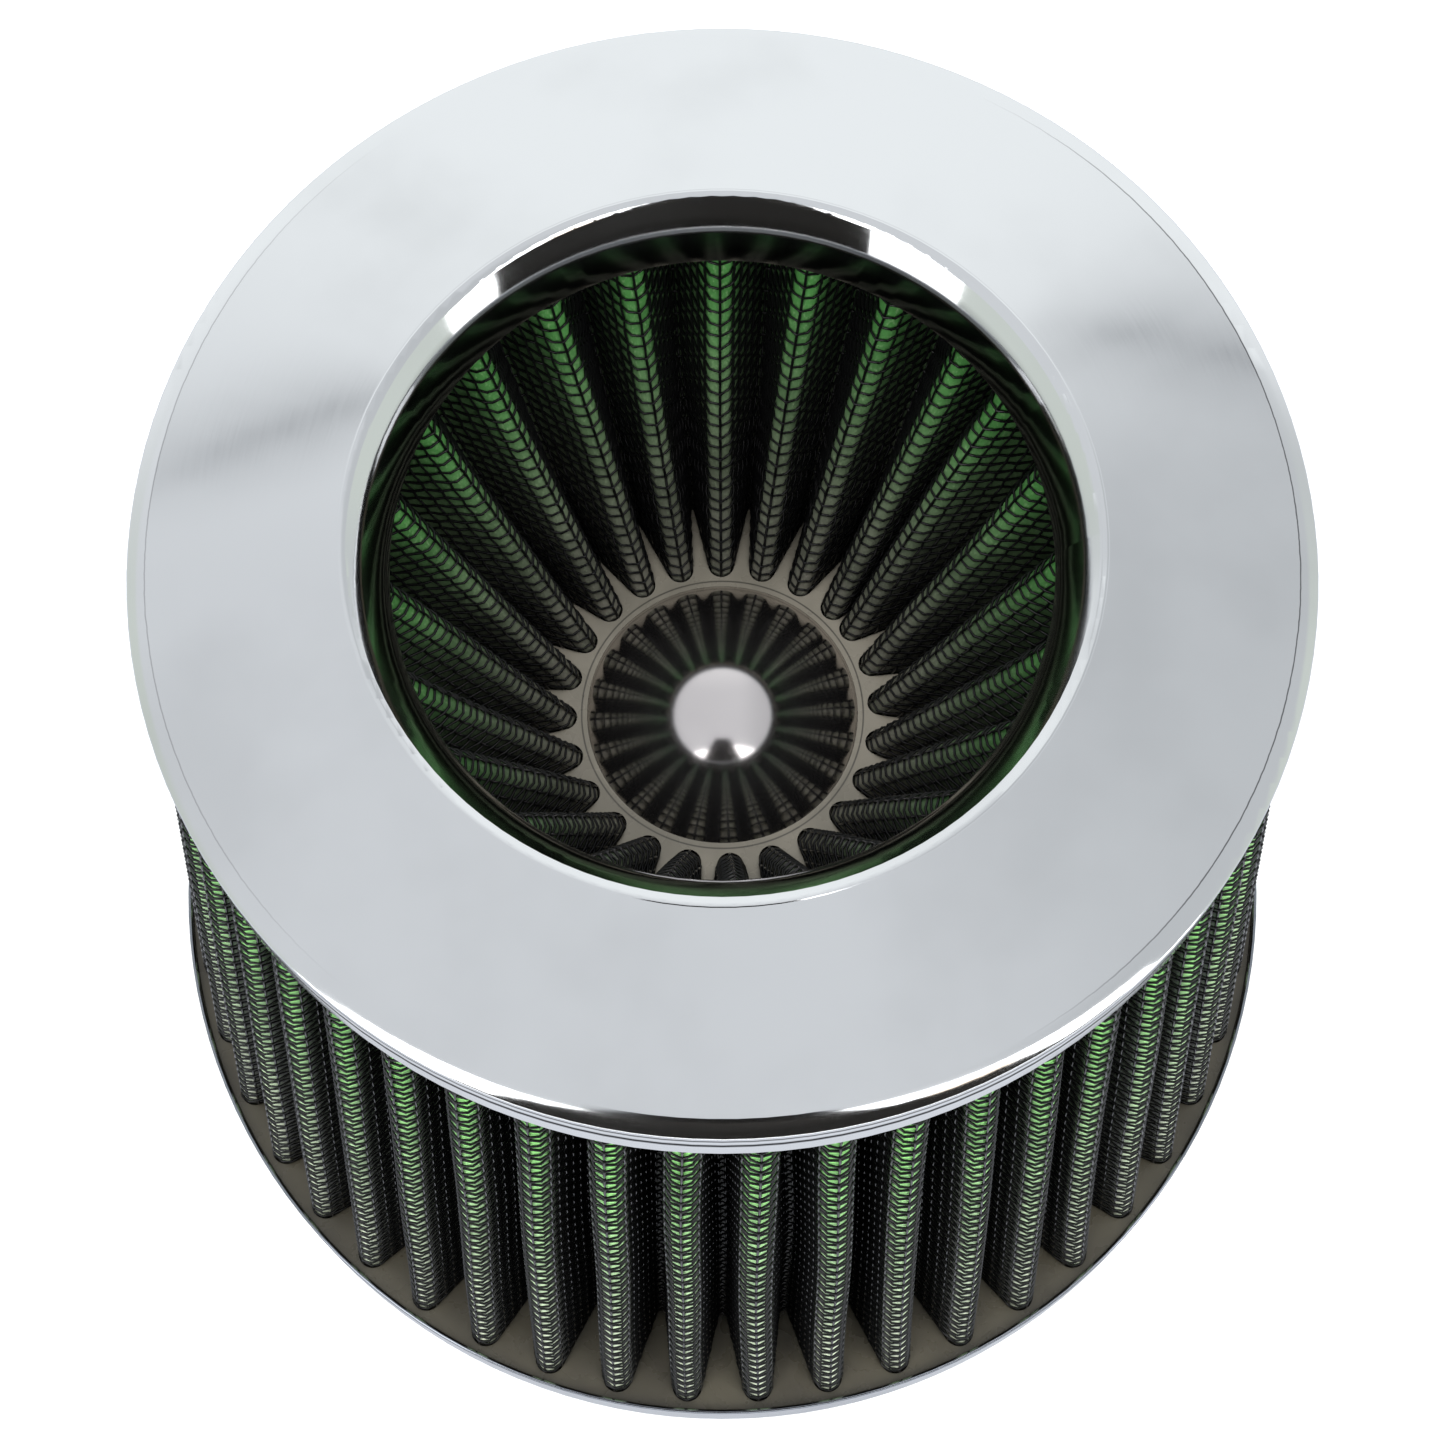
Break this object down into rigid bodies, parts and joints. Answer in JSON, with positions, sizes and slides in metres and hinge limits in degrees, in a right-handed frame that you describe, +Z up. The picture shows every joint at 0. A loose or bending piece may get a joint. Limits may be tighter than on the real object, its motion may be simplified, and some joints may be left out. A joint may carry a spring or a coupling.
{
  "type": "air filter",
  "caption": "Clamp-on twin-cone air filter: pleated green cotton under black wire cloth, chrome trim ring with a flared throat, rubber neck with worm clamp",
  "frame": {"origin": "centre of the neck's open mouth, on the filter's axis", "axes": "+Z up along the axis from the neck to the trim ring, +X through the clamp's housing, +Y along the clamp's screw towards its head"},
  "size_m": [0.15, 0.15, 0.1605],
  "materials": {
    "neck_rubber": "moulded, slightly satin",
    "pan_chrome": "bright plated pressed steel",
    "casting_grey": "cast polyurethane, satin, olive grey",
    "wire_black": "epoxy-coated woven wire",
    "cotton_green": "oiled cotton",
    "ring_chrome": "polished chrome plate",
    "clamp_steel": "rolled stainless strip",
    "screw_steel": "zinc-plated steel"
  },
  "bodies": {
    "filter": {"rubber_neck": "neck_rubber", "base_pan": "pan_chrome", "base_casting": "casting_grey", "outer_front_cloth": "wire_black", "outer_cotton": "cotton_green", "outer_back_cloth": "wire_black", "trim_ring": "ring_chrome", "top_casting": "casting_grey", "inner_back_cloth": "wire_black", "inner_cotton": "cotton_green", "inner_front_cloth": "wire_black", "inner_plug": "casting_grey", "chrome_dome": "ring_chrome"},
    "clamp": {"clamp_band": "clamp_steel", "clamp_housing": "clamp_steel"},
    "band_end": {"clamp_tail": "clamp_steel"},
    "screw": {"clamp_screw": "screw_steel"}
  },
  "joints": [
    {"name": "clamp_turn", "type": "hinge", "parent": "filter", "child": "clamp", "pos_m": [0, 0, 0.013], "axis": [0, 0, 1], "continuous": true},
    {"name": "screw_turn", "type": "hinge", "parent": "clamp", "child": "screw", "pos_m": [0.04708, 0, 0.013], "axis": [0, 1, 0], "range_deg": [-780, 2220]},
    {"name": "tail_feed", "type": "hinge", "parent": "clamp", "child": "band_end", "pos_m": [0, 0, 0.013], "axis": [0, 0, 1], "range_deg": [-8, 24]}
  ],
  "couplings": [
    {"joint": "screw_turn", "follows": "tail_feed", "ratio": 90}
  ]
}
